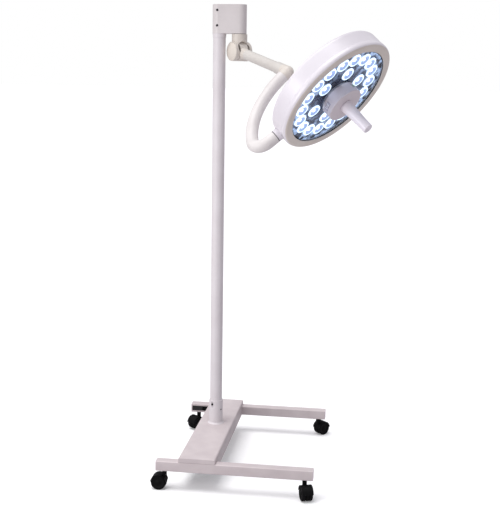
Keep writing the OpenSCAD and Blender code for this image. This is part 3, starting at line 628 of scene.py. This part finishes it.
# %% Turn the handle
grip_low, grip_high, grip_points = span("handle_grip", HEAD)
GRIP_FOOT, GRIP_TIP = grip_low.z / MM, grip_high.z / MM
GRIP_FLARE = grip_high.x / MM
GRIP_R = max(p.xy.length for p in grip_points if p.z > (GRIP_TIP - 3) * MM) / MM
GRIP_BORE, GRIP_BORE_END, TAPER_END = 12.0, 150.0, 168.0
TIP_EDGE, DISH_R, DISH_DEEP = 3.0, GRIP_R - 5.5, 2.0
handle_outline = (
    [(0, GRIP_BORE_END), (GRIP_BORE, GRIP_BORE_END), (GRIP_BORE, GRIP_FOOT + 0.6)]
    + [(GRIP_BORE + 0.6, GRIP_FOOT), (GRIP_FLARE - 1.2, GRIP_FOOT)]
    + rounded_corner((GRIP_FLARE - 1.2, GRIP_FOOT + 1.2), 1.2, -90, 0, 3)
    + [(GRIP_R + 0.4 * (GRIP_FLARE - GRIP_R), 130.0), (GRIP_R, TAPER_END), (GRIP_R, GRIP_TIP - TIP_EDGE)]
    + rounded_corner((GRIP_R - TIP_EDGE, GRIP_TIP - TIP_EDGE), TIP_EDGE, 0, 90, 5)
    + [(DISH_R + 1.0, GRIP_TIP), (DISH_R + 0.3, GRIP_TIP - 0.3), (DISH_R, GRIP_TIP - 1.0)]
    + [(DISH_R - 0.6, GRIP_TIP - DISH_DEEP), (0, GRIP_TIP - DISH_DEEP - 0.4)]
)
handle = piece_from(
    turned(handle_outline, 96), "handle_moulding", "handle",
    [handle_psu], HEAD, ["handle_grip"])
print("handle length, mm:", round(GRIP_TIP - GRIP_FOOT), "faces:", len(handle.data.polygons))

# %% [markdown]
# ## The caster wheels
#
# A twin-wheel caster has a nylon core with a soft tread moulded round it. The tread's shoulders are
# round so that it rolls over a door sill, and the core is dished with a snap-on hub cap that hides
# the axle's end. Both wheels of a pair are one piece here, as they are one CAD node.

# %% Turn the wheels
WHEEL_W, SHOULDER, BORE_R = 17.0, 4.0, 4.1
HALF_GAP = 4.5
UPWARDS = Vector((0, 0, 1))
wheel_r = joint_place("roll_fl")[0].z / MM
core_r = wheel_r - SHOULDER
wheel_outline = (
    [(0, WHEEL_W - 1.2), (4.6, WHEEL_W - 1.2), (5.6, WHEEL_W - 1.8), (6.0, WHEEL_W - 3.0)]
    + [(core_r - 6.5, WHEEL_W - 3.0), (core_r - 3.5, WHEEL_W - 0.4), (core_r - 0.4, WHEEL_W - 0.4)]
    + [(core_r, WHEEL_W - 0.8)]
    + rounded_corner((core_r, WHEEL_W - SHOULDER), SHOULDER, 90, 0, 5)
    + rounded_corner((core_r, SHOULDER), SHOULDER, 0, -90, 5)
    + [(BORE_R, 0), (BORE_R, WHEEL_W - 2.5), (0, WHEEL_W - 2.5)]
)
CORE_ZONE, TREAD_ZONE = 0, 1
wheel_zones = [CORE_ZONE] * 7 + [TREAD_ZONE] * 12 + [CORE_ZONE] * 3
for corner in ("fl", "fr", "bl", "br"):
    centre, axle_axis = joint_place("roll_" + corner)
    seats = []
    for outwards in (axle_axis, -axle_axis):
        inner_face = centre + outwards * HALF_GAP * MM
        seats.append(place_from_axes(inner_face, outwards.cross(UPWARDS), outwards))
    pair = copies(turned(wheel_outline, 56, wheel_zones), seats)
    piece_from(pair, f"caster_{corner}_wheel_pair", "wheels_" + corner,
               [black_nylon, tread_rubber], replaces=[f"caster_{corner}_wheels"])
print("wheel radius, mm:", round(wheel_r, 1), "outline points:", len(wheel_outline))

# %% [markdown]
# ## Signs on the keys
#
# The keys carry plain signs, a plus and a minus for the light's level, a ring for power and two bars
# for the mode. They are pad printed, so each is a film a tenth of a millimetre thick that follows its
# key. Each key's outer face is found from its CAD node, in the head's place.

# %% Print the signs
SIGN_THICK, BAR_W, SIGN_HALF = 0.1, 1.2, 2.4
sign_ink = moulded("pad_print_ink", "#4a4a58", "#42424f", 0.5)


def bar(length, width, shift=0.0):
    """A flat bar lying in the y and z directions, its back on x = 0"""
    bm = bmesh.new()
    bmesh.ops.create_cube(bm, size=1.0)
    bmesh.ops.transform(bm, verts=bm.verts, matrix=Matrix.Translation(
        Vector((SIGN_THICK / 2, 0, shift)) * MM) @ Matrix.Diagonal(
        Vector((SIGN_THICK, length, width, 1 / MM)) * MM))
    return bm


def joined(shapes):
    whole = bmesh.new()
    for shape in shapes:
        small = bpy.data.meshes.new("small_sign")
        shape.to_mesh(small)
        shape.free()
        whole.from_mesh(small)
        bpy.data.meshes.remove(small)
    return whole


def sign_plus():
    upright = bar(BAR_W, SIGN_HALF - BAR_W / 2, SIGN_HALF / 2 + BAR_W / 4)
    lower = bar(BAR_W, SIGN_HALF - BAR_W / 2, -SIGN_HALF / 2 - BAR_W / 4)
    return joined([bar(2 * SIGN_HALF, BAR_W), upright, lower])


def sign_minus():
    return joined([bar(2 * SIGN_HALF, BAR_W)])


def sign_bars():
    return joined([bar(2 * SIGN_HALF, BAR_W, 1.2), bar(2 * SIGN_HALF, BAR_W, -1.2)])


def sign_ring():
    ring = turned([(SIGN_HALF, 0), (SIGN_HALF, SIGN_THICK), (SIGN_HALF - BAR_W, SIGN_THICK),
                   (SIGN_HALF - BAR_W, 0), (SIGN_HALF, 0)], 40)
    ring.transform(Matrix.Rotation(math.radians(90), 4, "Y"))
    return ring


SIGNS = {"dim_up": sign_plus, "dim_down": sign_minus, "power": sign_ring, "mode": sign_bars}
for key_name, sign in SIGNS.items():
    points = [vertex.co for vertex in frame["nodes"]["key_" + key_name].data.vertices]
    middle = sum(points, Vector()) / len(points)
    press_axis = Vector(JOINTS["press_" + key_name]["axis"]).normalized()
    outwards = press_axis if press_axis.dot(middle - head_centre) > 0 else -press_axis
    face_at = max(point.dot(outwards) for point in points)
    seat = middle + outwards * (face_at - middle.dot(outwards) + 0.02 * MM)
    place = place_from_axes(seat, outwards, beam_axis)
    body = JOINTS["press_" + key_name]["child"]
    piece_from(sign(), "sign_" + key_name, body, [sign_ink], place)
print("signs printed:", len(SIGNS))

# %% [markdown]
# ## Soft edges on the sheet metal and castings
#
# No real edge is sharp: sheet is tumbled, castings have fillets and the coat itself rounds a corner.
# A copy of each CAD piece is merged into one mesh and gets a narrow bevel on its sharp edges only, so
# the outline stays where the CAD has it while every edge catches a thin line of light.

# %% Bevelled copies
SHARP_ANGLE = math.radians(40)
SOFT_EDGES = [
    ("bracket_housing", "stand", "bracket_paint", bracket_coat, 1.6),
    ("bracket_cap", "stand", "bracket_paint", bracket_coat, 0.6),
    ("pole_collar", "stand", "stand_paint", stand_coat, 0.8),
    ("cross_channel", "stand", "base_paint", base_coat, 0.8),
    ("rail_front", "stand", "base_paint", base_coat, 0.6),
    ("rail_end_caps", "stand", "cap_plastic", cap_plastic, 0.8),
    ("knuckle_fork", "knuckle", "arm_casting", casting_coat, 1.2),
    ("knuckle_caps", "knuckle", "cap_plastic", knuckle_cap_plastic, 1.0),
    ("arm_collar", "arm", "arm_paint", arm_coat, 0.8),
    ("hub_housing", "head", "hub_plastic", hub_abs, 0.5),
    ("keypads", "head", "keypad_grey", keypad_film, 0.3),
]
for node, body, slot, finish, width in SOFT_EDGES:
    bm = bmesh.new()
    bm.from_mesh(frame["nodes"][node].data)
    bmesh.ops.remove_doubles(bm, verts=bm.verts, dist=1e-6)
    bmesh.ops.dissolve_limit(bm, angle_limit=math.radians(0.5), verts=bm.verts, edges=bm.edges)
    for edge in bm.edges:
        edge.smooth = not (len(edge.link_faces) == 2 and edge.calc_face_angle(0) > SHARP_ANGLE)
    copy = piece_from(bm, node + "_soft", body, [finish], replaces=[node])
    bevel = copy.modifiers.new("soft_edges", "BEVEL")
    bevel.width = width * MM
    bevel.segments = 3
    bevel.limit_method = "ANGLE"
    bevel.angle_limit = SHARP_ANGLE
    bevel.use_clamp_overlap = True
    bevel.harden_normals = True
print("pieces with soft edges:", len(SOFT_EDGES))
